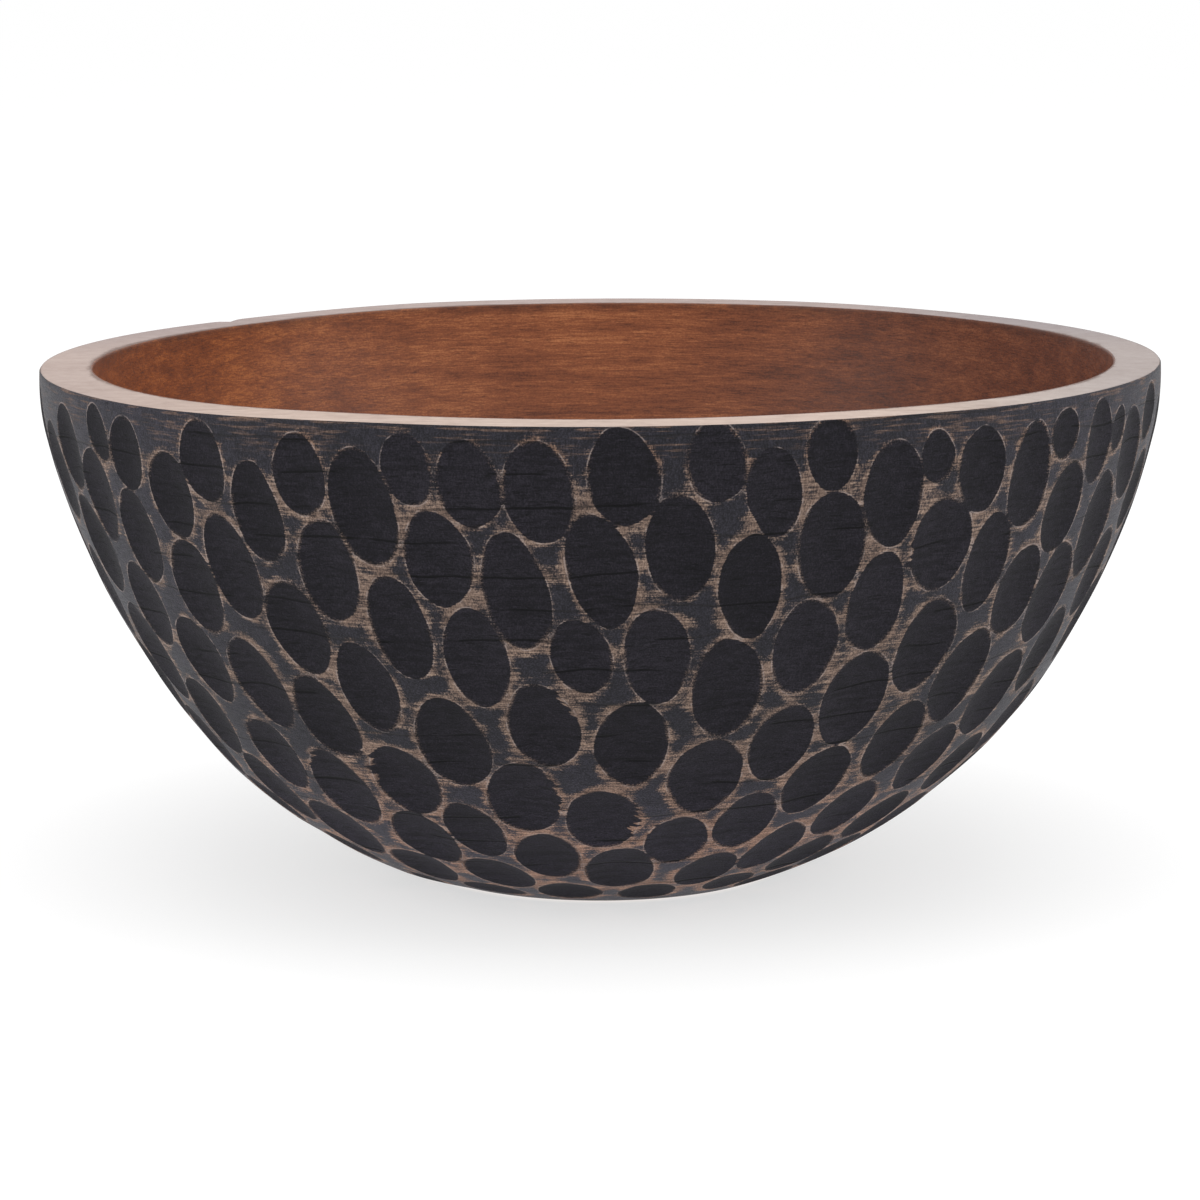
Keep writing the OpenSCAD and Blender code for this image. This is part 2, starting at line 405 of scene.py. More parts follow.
rings = []
top_phi = list(np.linspace(-math.pi, math.pi, N_TOP, endpoint=False))
crossings = []
for i in range(NG):
    e = GOUGES[i : i + 1]
    round_mm = 2 * math.pi * math.sqrt((e[0, 2] ** 2 + e[0, 3] ** 2) / 2)
    n = max(24, int(round(round_mm / 1.25)))
    px, py = gouge_ring(e, n, shift=0.37 * i % 1.0)
    px, py = px[0], py[0]
    if py.min() > 0.05:
        ids = add(px, py)
        edges += [(int(ids[k]), int(ids[(k + 1) % n])) for k in range(n)]
    else:
        up = py <= 0.05
        k0 = int(np.where(~up & np.roll(up, 1))[0][0])
        order = [(k0 + j) % n for j in range(n) if not up[(k0 + j) % n]]
        ids = add(px[order], py[order])
        edges += [(int(a), int(b)) for a, b in zip(ids[:-1], ids[1:])]
        for inside, beyond, pid in ((order[0], (order[0] - 1) % n, ids[0]), (order[-1], (order[-1] + 1) % n, ids[-1])):
            f = py[inside] / (py[inside] - py[beyond])
            crossings.append((float(wrap(px[inside] + f * wrap(px[beyond] - px[inside]))), int(pid)))
    for q in (0.86, 0.68, 0.48, 0.26):
        m = max(10, int(round(n * (0.25 + 0.75 * q))))
        rx, ry = gouge_ring(e, m, q, shift=0.5 * (q * 10 % 2))
        ok = ry[0] > 0.4
        add(rx[0][ok], ry[0][ok])
    add(e[:, 0], e[:, 1])
    rx, ry = gouge_ring(e, n, 1.0, shift=0.37 * i % 1.0 + 0.5, out=0.5)
    rings.append((rx[0], ry[0], i))

for phi_c, _ in crossings:  # a gouge that runs out through the rim's corner
    top_phi = [p for p in top_phi if abs(wrap(p - phi_c)) > 0.0022]
top_phi = np.array(sorted(top_phi + [c[0] for c in crossings]))
top_ids = add(top_phi, np.zeros(len(top_phi)))
for phi_c, pid in crossings:
    edges.append((pid, int(top_ids[int(np.argmin(np.abs(wrap(top_phi - phi_c))))])))
edges += [(int(top_ids[k]), int(top_ids[(k + 1) % len(top_ids)])) for k in range(len(top_ids))]
foot_phi = np.linspace(-math.pi, math.pi, N_FOOT, endpoint=False)
foot_ids = add(foot_phi, np.full(N_FOOT, S_STAIN))
edges += [(int(foot_ids[k]), int(foot_ids[(k + 1) % N_FOOT])) for k in range(N_FOOT)]

cand = [np.concatenate([r[0] for r in rings]), np.concatenate([r[1] for r in rings])]
d = carved(cand[0], cand[1])[1]
ok = (d > 0.42) & (cand[1] > 0.9) & (cand[1] < S_STAIN - 0.5)
add(cand[0][ok], cand[1][ok])
row_phi = np.linspace(-math.pi, math.pi, 720, endpoint=False)
d = carved(row_phi, np.full(720, 0.45))[1]
add(row_phi[np.abs(d) > 0.25], np.full(int((np.abs(d) > 0.25).sum()), 0.45))
rng = np.random.default_rng(SEED + 1)
for j, s_row in enumerate(np.arange(1.5, S_STAIN - 1.2, 1.25)):
    n = int(round(2 * math.pi * rad(s_row) / 1.45))
    phi = (np.arange(n) + 0.5 * (j % 2) + rng.uniform(-0.2, 0.2, n)) * 2 * math.pi / n
    s = s_row + rng.uniform(-0.2, 0.2, n)
    ok = carved(phi, s)[1] > 0.95
    add(phi[ok], s[ok])

PHI, S = np.concatenate(pts_phi), np.concatenate(pts_s)
HOLE = float(np.interp(S_STAIN, RS, _rho))
flat, src, tris = triangulate(flatten(PHI, S), edges, HOLE, foot_ids)
phi_v = np.where(src >= 0, PHI[src], np.arctan2(flat[:, 1], flat[:, 0]))
s_v = np.where(src >= 0, S[src], np.interp(-np.hypot(*flat.T), -_rho, RS))
depth, gap, which = carved(phi_v, s_v)
lot = np.random.default_rng(SEED + 2).random(NG)
tone = np.where(gap < 0.02, lot[which], 0.5)
corner = 0.3 * np.clip(1 - s_v / 0.45, 0, 1) ** 2
hand = 0.10 * (2.2 + waves(phi_v, [(3, 0.7, 0.4), (5, 0.5, 2.0), (9, 0.4, 1.1)]) + np.sin(s_v / 17.0 + 2 * phi_v) * 0.6) * np.clip(s_v / 20, 0, 1) * np.clip((S_STAIN - s_v) / 12, 0, 1)
wall = place(phi_v, s_v, depth + corner + hand)
torn = np.zeros(len(phi_v))
for a, b, reach in TORN:
    dist = np.hypot(wrap(phi_v - D(a)) * rad(s_v), s_v - b)
    torn = np.maximum(torn, np.clip(1.3 - dist / reach, 0, 1))

lookup = {}
for v, k in enumerate(src):
    if k >= 0:
        lookup[int(k)] = v
top_v = np.array([lookup[int(k)] for k in top_ids])
foot_v = np.array([lookup[int(k)] for k in foot_ids])

# The back of the stained wall, where it meets the bare wood under it
b_phi, b_s = [top_phi, foot_phi], [np.zeros(len(top_phi)), np.full(N_FOOT, S_STAIN)]
for s_row in (1.6, 3.2, 5.5, 9, 15, 22, 30, 38, 46, 54, 62, 70, 78, 86, 94, 102, 110, 118, 126, 134, 142, 150, 158, 165, 171, 175.5, 178.5, S_STAIN - 1.2):
    n = 480 if s_row < 4 else 300 if s_row < 12 else 220 if s_row < 172 else 300
    b_phi.append(np.linspace(-math.pi, math.pi, n, endpoint=False) + 0.003)
    b_s.append(np.full(n, float(s_row)))
b_phi, b_s = np.concatenate(b_phi), np.concatenate(b_s)
nt = len(top_phi)
b_edges = [(k, (k + 1) % nt) for k in range(nt)] + [(nt + k, nt + (k + 1) % N_FOOT) for k in range(N_FOOT)]
b_flat, b_src, b_tris = triangulate(flatten(b_phi, b_s), b_edges, HOLE, np.arange(nt, nt + N_FOOT))
back = place(b_phi, b_s, np.minimum(np.minimum(2.4, 0.45 + 0.45 * b_s), 0.35 + 0.45 * (S_STAIN - b_s)))
back[:nt] = wall[top_v]
back[nt : nt + N_FOOT] = wall[foot_v]
b_tris = b_src[b_tris]


def weld(parts):
    """Joins (points, faces, flip) lists; points closer than 1 micron become one."""
    co = np.concatenate([p[0] for p in parts])
    off, faces = 0, []
    for p, f, flip in parts:
        f = [list(t)[::-1] if flip else list(t) for t in f]
        faces += [[int(i) + off for i in t] for t in f]
        off += len(p)
    key = np.round(co * 1000).astype(np.int64)
    _, first, inv = np.unique(key, axis=0, return_index=True, return_inverse=True)
    inv = inv.ravel()
    out = []
    for t in faces:
        t = [int(inv[i]) for i in t]
        t = [a for k, a in enumerate(t) if a != t[k - 1]]
        if len(set(t)) > 2:
            out.append(t)
    return co[first], out, first


n_wall = len(wall)
co, faces, first = weld([(wall, tris, False), (back, b_tris, True)])


def carry(values, fill):
    full = np.concatenate([values, np.full(len(back), fill)])
    return full[first]


inv_first = {int(f): k for k, f in enumerate(first)}
ring_edges = set()
for a, b in edges:
    if a in lookup and b in lookup:
        va, vb = lookup[a], lookup[b]
        if va in inv_first and vb in inv_first:
            ring_edges.add(tuple(sorted((inv_first[va], inv_first[vb]))))
carved_wall = make_mesh(
    "carved_stained_wall",
    co,
    faces,
    {"gap": carry(gap, 3.0), "tone": carry(tone, 0.5), "down": carry(s_v, 90.0), "torn": carry(torn, 0.0)},
    ring_edges,
)

# ------------------------------------------------- the lacquer in the hollow
in_phi = np.linspace(-math.pi, math.pi, N_IN, endpoint=False)


def hollow(phi, s, out):
    """Points of the hollow's wall, moved out mm into the wood."""
    r, z, t = section(INNER, s)
    fade = np.clip(r / 60, 0, 1)
    r = r + fade * waves(phi, [(2, 0.25, 1.0), (3, 0.2, 0.2), (5, 0.14, 2.6), (8, 0.06, 0.9)])
    r = r + ease(s, 90, 0) * (1.9 * ease(-np.sin(phi), 0.3, 1.0) + 1.0 * ease(np.sin(phi), 0.3, 0.9))
    r = r + out * np.cos(t)
    z = z - out * np.sin(t)
    x, y = HOLLOW_DX + r * np.sin(phi), -r * np.cos(phi)
    z = z + rim_z(x) * ease(s, 45, 0)
    return np.column_stack([x, y, z + H])


def revolve(rows, n):
    """Quads between rows of n points, closed round; the last row may be one point."""
    faces, start = [], [0]
    for r in rows:
        start.append(start[-1] + len(r))
    for i in range(len(rows) - 1):
        a, b = start[i], start[i + 1]
        if len(rows[i + 1]) == 1:
            faces += [[a + k, a + (k + 1) % n, b] for k in range(n)]
        else:
            faces += [[a + k, a + (k + 1) % n, b + (k + 1) % n, b + k] for k in range(n)]
    return np.concatenate(rows), faces


s_rows = np.concatenate([[0.35, 0.8, 1.4], np.linspace(2.2, I_END - 1.5, 96)])
front_rows = [hollow(in_phi, np.full(N_IN, v), 0.0) for v in s_rows] + [hollow(np.array([0.0]), np.array([I_END]), 0.0)]
lip = hollow(in_phi, np.zeros(N_IN), 0.12)
edge = hollow(in_phi, np.zeros(N_IN), 0.4)
front_rows = [edge, lip] + front_rows
lining, lining_f = revolve(front_rows, N_IN)
back_s = np.concatenate([[3.0], np.linspace(8, I_END - 6, 22)])
back_rows = [edge] + [hollow(in_phi, np.full(N_IN, v), 0.4) for v in back_s] + [hollow(np.array([0.0]), np.array([I_END]), 0.4)]
under, under_f = revolve(back_rows, N_IN)
co, faces, first = weld([(lining, lining_f, True), (under, under_f, False)])
deep = np.concatenate([[0.0] * N_IN, [0.0] * N_IN] + [[v] * N_IN for v in s_rows] + [[I_END]] + [[60.0] * (len(under))])
lacquer = make_mesh("lacquered_lining", co, faces, {"down": deep[first]})

# ------------------------------------------ the bare wood: rim, core and foot
r_phi, r_w = [top_phi, in_phi], [np.zeros(nt), np.ones(N_IN)]
for w, n in ((0.03, 960), (0.10, 720), (0.2, 600), (0.32, 600), (0.44, 540), (0.56, 540), (0.68, 540), (0.8, 480), (0.9, 480), (0.97, 480)):
    r_phi.append(np.linspace(-math.pi, math.pi, n, endpoint=False) + 0.0017)
    r_w.append(np.full(n, w))
r_phi, r_w = np.concatenate(r_phi), np.concatenate(r_w)
k = 1 - 0.12 * r_w
r_edges = [(i, (i + 1) % nt) for i in range(nt)] + [(nt + i, nt + (i + 1) % N_IN) for i in range(N_IN)]
_, r_src, r_tris = triangulate(np.column_stack([k * np.cos(r_phi), k * np.sin(r_phi)]), r_edges, 0.88, np.arange(nt, nt + N_IN))
r_tris = r_src[r_tris]
outer_top = wall[top_v]
ox = np.interp(wrap(r_phi), np.concatenate([top_phi, [top_phi[0] + 2 * math.pi]]), np.concatenate([np.hypot(*outer_top[:, :2].T), [np.hypot(*outer_top[0, :2])]]))
outer_xy = np.column_stack([ox * np.sin(r_phi), -ox * np.cos(r_phi)])
inner_pt = hollow(r_phi, np.zeros(len(r_phi)), 0.4)
xy = outer_xy * (1 - r_w[:, None]) + inner_pt[:, :2] * r_w[:, None]
lift = -0.10 * np.clip(1 - r_w / 0.08, 0, 1) ** 2 - 0.10 * np.clip(1 - (1 - r_w) / 0.06, 0, 1) ** 2 + 0.03 * np.sin(5 * r_phi + 9 * r_w) * np.sin(math.pi * r_w)
nick = 0.5 * np.exp(-((wrap(r_phi - D(-133.0)) * 150 / 2.4) ** 2)) * ease(r_w, 0.3, 0)
rim = np.column_stack([xy, H + rim_z(xy[:, 0]) + np.minimum(lift, 0) - nick])
rim[:nt] = outer_top
rim[nt : nt + N_IN] = edge
width = np.hypot(outer_xy[:, 0] - inner_pt[:, 0], outer_xy[:, 1] - inner_pt[:, 1])

foot_rows = [wall[foot_v]]
for s_row, inset in ((S_END - 0.9, 0.0), (S_END - 0.5, 0.02), (S_END - 0.22, 0.1)):
    foot_rows.append(place(foot_phi, np.full(N_FOOT, s_row), inset))
for rr, zz in ((49.55, 0.04), (49.1, 0.0), (47, 0.0), (43, 0.0), (38, 0.03), (32, 0.06), (26, 0.09), (20, 0.11), (14, 0.13), (9, 0.14), (4.5, 0.15)):
    foot_rows.append(np.column_stack([rr * np.sin(foot_phi), -rr * np.cos(foot_phi), np.full(N_FOOT, zz)]))
foot_rows.append(np.array([[0.0, 0.0, 0.15]]))
foot, foot_f = revolve(foot_rows, N_FOOT)
co, faces, first = weld([(rim, r_tris, False), (back, b_tris, False), (foot, foot_f, False), (under, under_f, True)])
from_in = np.concatenate([(1 - r_w) * width, np.full(len(back) + len(foot) + len(under), 50.0)])
from_out = np.concatenate([r_w * width, np.full(len(back) + len(foot) + len(under), 50.0)])
body = make_mesh("bare_wood_body", co, faces, {"from_in": from_in[first], "from_out": from_out[first]})


def check(ob):
    """Counts open or doubled edges, and turns the faces outward."""
    import bmesh

    bm = bmesh.new()
    bm.from_mesh(ob.data)
    bmesh.ops.recalc_face_normals(bm, faces=bm.faces)
    bad = sum(1 for e in bm.edges if len(e.link_faces) != 2)
    vol = bm.calc_volume() * 1e6
    if vol < 0:
        bmesh.ops.reverse_faces(bm, faces=bm.faces)
    nf = len(bm.faces)
    bm.to_mesh(ob.data)
    bm.free()
    print(ob.name, "faces", nf, "edges not shared by two faces", bad, "volume cm3", round(abs(vol), 1))


for ob in (carved_wall, lacquer, body):
    check(ob)

# --------------------------------------------------------------- materials


class Nodes:
    """Short names for building a material's nodes."""

    def __init__(self, name):
        self.mat = bpy.data.materials.new(name)
        self.mat.use_nodes = True
        self.t = self.mat.node_tree
        self.t.nodes.clear()
        self.coord = self.t.nodes.new("ShaderNodeTexCoord").outputs["Object"]

    def put(self, socket, value):
        if isinstance(value, bpy.types.NodeSocket):
            self.t.links.new(value, socket)
        elif value is not None:
            socket.default_value = value

    def math(self, op, a, b=None, c=None, clamp=False):
        n = self.t.nodes.new("ShaderNodeMath")
        n.operation, n.use_clamp = op, clamp
        for k, v in enumerate((a, b, c)):
            self.put(n.inputs[k], v)
        return n.outputs[0]

    def add(self, a, b):
        return self.math("ADD", a, b)

    def mul(self, a, b):
        return self.math("MULTIPLY", a, b)

    def step(self, x, lo, hi, out_lo=0.0, out_hi=1.0):
        """Smooth change from out_lo at x = lo to out_hi at x = hi."""
        n = self.t.nodes.new("ShaderNodeMapRange")
        n.interpolation_type = "SMOOTHSTEP"
        if lo > hi:
            lo, hi, out_lo, out_hi = hi, lo, out_hi, out_lo
        for k, v in zip(("Value", "From Min", "From Max", "To Min", "To Max"), (x, lo, hi, out_lo, out_hi)):
            self.put(n.inputs[k], v)
        return n.outputs[0]

    def value(self, name):
        n = self.t.nodes.new("ShaderNodeAttribute")
        n.attribute_name = name
        return n.outputs["Fac"]

    def scaled(self, scale, turn=(0, 0, 0), move=(0, 0, 0), vec=None):
        n = self.t.nodes.new("ShaderNodeMapping")
        self.put(n.inputs["Vector"], vec or self.coord)
        n.inputs["Scale"].default_value = scale
        n.inputs["Rotation"].default_value = turn
        n.inputs["Location"].default_value = move
        return n.outputs[0]

    def noise(self, scale, detail=3.0, rough=0.5, turn=(0, 0, 0), move=(0, 0, 0), warp=0.0, vec=None):
        n = self.t.nodes.new("ShaderNodeTexNoise")
        self.put(n.inputs["Vector"], self.scaled(scale, turn, move, vec))
        n.inputs["Scale"].default_value = 1.0
        n.inputs["Detail"].default_value = detail
        n.inputs["Roughness"].default_value = rough
        n.inputs["Distortion"].default_value = warp
        return n.outputs["Fac"]

    def mix(self, f, a, b, blend="MIX"):
        n = self.t.nodes.new("ShaderNodeMix")
        n.data_type, n.blend_type = "RGBA", blend
        self.put(n.inputs[0], f)
        for k, v in ((6, a), (7, b)):
            self.put(n.inputs[k], v if isinstance(v, bpy.types.NodeSocket) else (*v, 1.0))
        return n.outputs[2]

    def ramp(self, f, stops):
        n = self.t.nodes.new("ShaderNodeValToRGB")
        self.put(n.inputs[0], f)
        cr = n.color_ramp
        while len(cr.elements) < len(stops):
            cr.elements.new(0.5)
        for e, (p, c) in zip(cr.elements, stops):
            e.position, e.color = p, (*c, 1.0)
        return n.outputs[0]

    def bump(self, height, dist_mm, strength=1.0, under=None):
        n = self.t.nodes.new("ShaderNodeBump")
        n.inputs["Strength"].default_value = strength
        n.inputs["Distance"].default_value = dist_mm / 1000
        self.put(n.inputs["Height"], height)
        if under is not None:
            self.put(n.inputs["Normal"], under)
        return n.outputs[0]

    def finish(self, color, rough, normal, specular, sheen=0.0, coat=0.0, coat_rough=0.3):
        b = self.t.nodes.new("ShaderNodeBsdfPrincipled")
        self.put(b.inputs["Base Color"], color)
        self.put(b.inputs["Roughness"], rough)
        self.put(b.inputs["Normal"], normal)
        b.inputs["Specular IOR Level"].default_value = specular
        b.inputs["Sheen Weight"].default_value = sheen
        b.inputs["Sheen Roughness"].default_value = 0.5
        b.inputs["Coat Weight"].default_value = coat
        b.inputs["Coat Roughness"].default_value = coat_rough
        out = self.t.nodes.new("ShaderNodeOutputMaterial")
        self.t.links.new(b.outputs[0], out.inputs[0])
        return self.mat


def srgb(r, g, b):
    return tuple((c / 255 / 12.92) if c / 255 <= 0.04045 else ((c / 255 + 0.055) / 1.055) ** 2.4 for c in (r, g, b))


def stained_wood():
    """Black stain in the gouge cuts, rubbed back to pale wood on the ridges,
    with fine streaks that run round the bowl."""
    n = Nodes("black_stained_wood")
    gap, tone, down, torn = (n.value(k) for k in ("gap", "tone", "down", "torn"))
    xyz = n.t.nodes.new("ShaderNodeSeparateXYZ")
    n.put(xyz.inputs[0], n.coord)
    x, y, z = xyz.outputs
    roll = n.t.nodes.new("ShaderNodeCombineXYZ")
    for k, v in enumerate((x, y, n.mul(down, 0.001))):
        n.put(roll.inputs[k], v)
    roll = roll.outputs[0]
    fibre = n.noise((260, 260, 3000), 3.0, 0.6, vec=roll)
    fib = n.step(fibre, 0.36, 0.64)
    long_f = n.step(n.noise((80, 80, 1400), 3.0, 0.6, move=(3, 1, 2), vec=roll), 0.36, 0.64)
    speck = n.step(n.noise((2300, 2300, 2600), 2.0, 0.6, move=(5, 2, 8), vec=roll), 0.38, 0.62)
    weave = n.step(n.noise((3000, 3000, 800), 2.0, 0.6, move=(1, 5, 5), vec=roll), 0.36, 0.64)
    patch = n.noise((100, 140, 140), 2.0, 0.5, move=(1, 7, 3))
    blotch = n.noise((230, 330, 330), 3.0, 0.55, move=(6, 2, 3))
    broad = n.noise((16, 22, 22), 2.0, 0.5, move=(4, 4, 9))
    soft = n.noise((60, 60, 60), 2.0, 0.5, move=(9, 4, 4))
    hatch = n.noise((1500, 1500, 420), 3.0, 0.6, move=(9, 1, 1))
    tear = n.noise((60, 60, 660), 2.0, 0.5, move=(2, 9, 4), vec=roll)
    top = n.step(down, 16.0, 3.0)
    low = n.step(down, 80.0, 150.0)
    foot = n.step(down, 158.0, 174.0)
    side = n.step(n.math("ABSOLUTE", x), 0.065, 0.125)

    # Edge of the stain in a cut: crisp in places and smoky in others, nibbled
    # where the wood tore
    nib = n.add(n.mul(n.add(fibre, -0.5), 0.9), n.mul(n.mul(n.add(tear, -0.5), torn), 11.0))
    nib = n.add(nib, n.mul(n.add(patch, -0.5), 0.8))
    crisp = n.step(n.add(gap, nib), 0.26, 0.00)
    smoky = n.step(n.add(gap, n.add(nib, n.mul(n.add(speck, -0.5), 0.6))), 0.80, -0.60)
    inside = n.add(crisp, n.mul(n.add(smoky, n.mul(crisp, -1.0)), n.step(soft, 0.46, 0.60)))

    # Bare wood on the ridges: it reaches a changing way from each cut's edge,
    # breaking up into fibres and specks, and the stain stays in wide places
    reach = n.step(patch, 0.34, 0.66, -0.3, 2.3)
    reach = n.add(reach, n.mul(low, 0.30))
    reach = n.add(reach, n.mul(top, -1.25))
    # Painted sheen: less bare wood shows at the sides, standing in for the grey veil of reflection there
    reach = n.add(reach, n.mul(side, -0.75))
    reach = n.add(reach, n.mul(foot, -0.5))
    v = n.mul(n.add(reach, n.mul(gap, -1.0)), 0.72)
    v = n.add(v, n.mul(n.add(fib, -0.5), 0.60))
    v = n.add(v, n.mul(n.add(long_f, -0.5), 0.55))
    v = n.add(v, n.mul(n.add(speck, -0.5), 0.45))
    v = n.add(v, n.mul(n.add(weave, -0.5), 0.50))
    v = n.add(v, n.mul(n.add(hatch, -0.5), n.mul(low, 2.0)))
    bare = n.step(v, -0.70, 1.00)
    # Rubbed streaks right under the rim
    streaks = n.add(n.mul(long_f, 0.6), n.mul(patch, 1.1))
    lip = n.mul(n.step(down, 1.8, 0.3), n.step(streaks, 0.86, 1.12))
    rubbed = n.mul(n.mul(n.step(down, 11.0, 4.0), n.step(streaks, 0.88, 1.20)), n.add(n.mul(fib, 0.5), 0.4))
    bare = n.math("MAXIMUM", bare, n.math("MAXIMUM", n.mul(lip, 0.55), n.mul(rubbed, 0.5)), clamp=True)
    # Thin pale line, here and there, where a cut breaks the surface: partly wood rubbed bare at the sharp edge and
    # partly a painted highlight, with more of it at the sides and lower down
    arris_wear_and_highlight = n.mul(n.step(n.math("ABSOLUTE", n.add(gap, -0.26)), 0.28, 0.04), n.step(n.add(blotch, n.add(n.mul(side, 0.07), n.mul(low, 0.10))), 0.46, 0.62))

    wood = n.ramp(n.add(n.mul(fib, 0.22), n.add(n.mul(weave, 0.20), n.add(n.mul(speck, 0.10), n.add(n.mul(long_f, 0.14), n.mul(blotch, 0.34))))), [
        (0.20, srgb(56, 46, 43)), (0.42, srgb(92, 76, 68)), (0.60, srgb(120, 101, 90)), (0.82, srgb(156, 134, 118))])
    wood = n.mix(n.mul(top, 0.5), wood, n.mix(1.0, wood, srgb(250, 222, 198), "MULTIPLY"))
    # Lighter and warmer lower down: partly the wood's own warmer tone, partly painted bounce light from the floor
    wood = n.mix(low, wood, n.mix(1.0, wood, (1.75, 1.48, 1.36), "MULTIPLY"))
    worn_paint_and_sheen = n.ramp(n.add(n.mul(speck, 0.22), n.add(n.mul(hatch, 0.30), n.add(n.mul(weave, 0.18), n.mul(blotch, 0.30)))), [
        (0.26, srgb(20, 19, 23)), (0.50, srgb(32, 31, 37)), (0.74, srgb(49, 47, 55))])
    # Painted sheen and painted bounce light: the worn plateau paint is lightened and blued at the sides and lower down
    worn_paint_and_sheen = n.mix(n.math("MAXIMUM", n.mul(low, 0.9), n.mul(side, 0.3)), worn_paint_and_sheen, n.mix(1.0, worn_paint_and_sheen, (2.05, 2.0, 2.2), "MULTIPLY"))

    # Fine striations across each cut, ticks, and a few long drying cracks
    level = n.add(n.add(n.mul(z, 1.0), n.mul(x, -0.03)), n.mul(n.noise((28, 28, 60), 2.0, 0.5, move=(7, 3, 5)), 0.006))
    fine = n.mul(n.step(n.math("ABSOLUTE", n.add(n.math("FRACT", n.mul(level, 420.0)), -0.5)), 0.40, 0.10), n.step(n.noise((60, 60, 240), 2.0, 0.5, move=(3, 8, 1)), 0.46, 0.62))
    crack = n.step(n.math("ABSOLUTE", n.add(n.math("FRACT", n.mul(level, 118.0)), -0.5)), 0.045, 0.012)
    crack = n.mul(crack, n.step(n.noise((38, 38, 110), 1.0, 0.5, move=(2, 2, 6)), 0.50, 0.56))
    tick = n.step(n.noise((330, 330, 2100), 2.0, 0.5, move=(8, 8, 2), vec=roll), 0.58, 0.68)
    black = n.ramp(n.add(n.mul(fib, 0.16), n.add(n.mul(speck, 0.18), n.add(n.mul(weave, 0.14), n.add(n.mul(blotch, 0.24), n.add(n.mul(broad, 0.18), n.mul(tone, 0.10)))))), [
        (0.28, srgb(15, 14, 18)), (0.50, srgb(26, 24, 30)), (0.74, srgb(43, 40, 47))])
    # Painted bounce light: the stain in the cuts is lightened and blued lower down, as if lit from the floor
    black = n.mix(low, black, n.mix(1.0, black, (1.35, 1.33, 1.45), "MULTIPLY"))
    black = n.mix(n.mul(fine, 0.35), black, srgb(10, 9, 12))
    black = n.mix(n.mul(tick, 0.6), black, srgb(8, 8, 9))
    black = n.mix(n.mul(crack, 0.85), black, srgb(4, 4, 5))
    ridge = n.mix(bare, worn_paint_and_sheen, wood)
    ridge = n.mix(n.mul(arris_wear_and_highlight, 0.6), ridge, srgb(152, 138, 133))
    ridge = n.mix(n.mul(crack, 0.5), ridge, srgb(24, 21, 21))
    color = n.mix(inside, ridge, black)
    paint = n.mul(n.add(n.mul(bare, -1.0), 1.0), n.add(n.mul(inside, -1.0), 1.0))
    rough = n.add(n.mul(inside, 0.12), n.add(n.mul(fib, 0.08), n.add(n.mul(paint, -0.14), 0.60)))
    h = n.add(n.mul(fibre, 0.5), n.add(n.mul(speck, 0.14), n.mul(weave, 0.10)))
    h = n.add(h, n.mul(tick, -0.45))
    h = n.add(h, n.mul(fine, -0.25))
    h = n.add(h, n.mul(crack, -1.3))
    h = n.add(h, n.mul(n.mul(tear, torn), 1.5))
    return n.finish(color, rough, n.bump(h, 0.16, 0.9), 0.16)


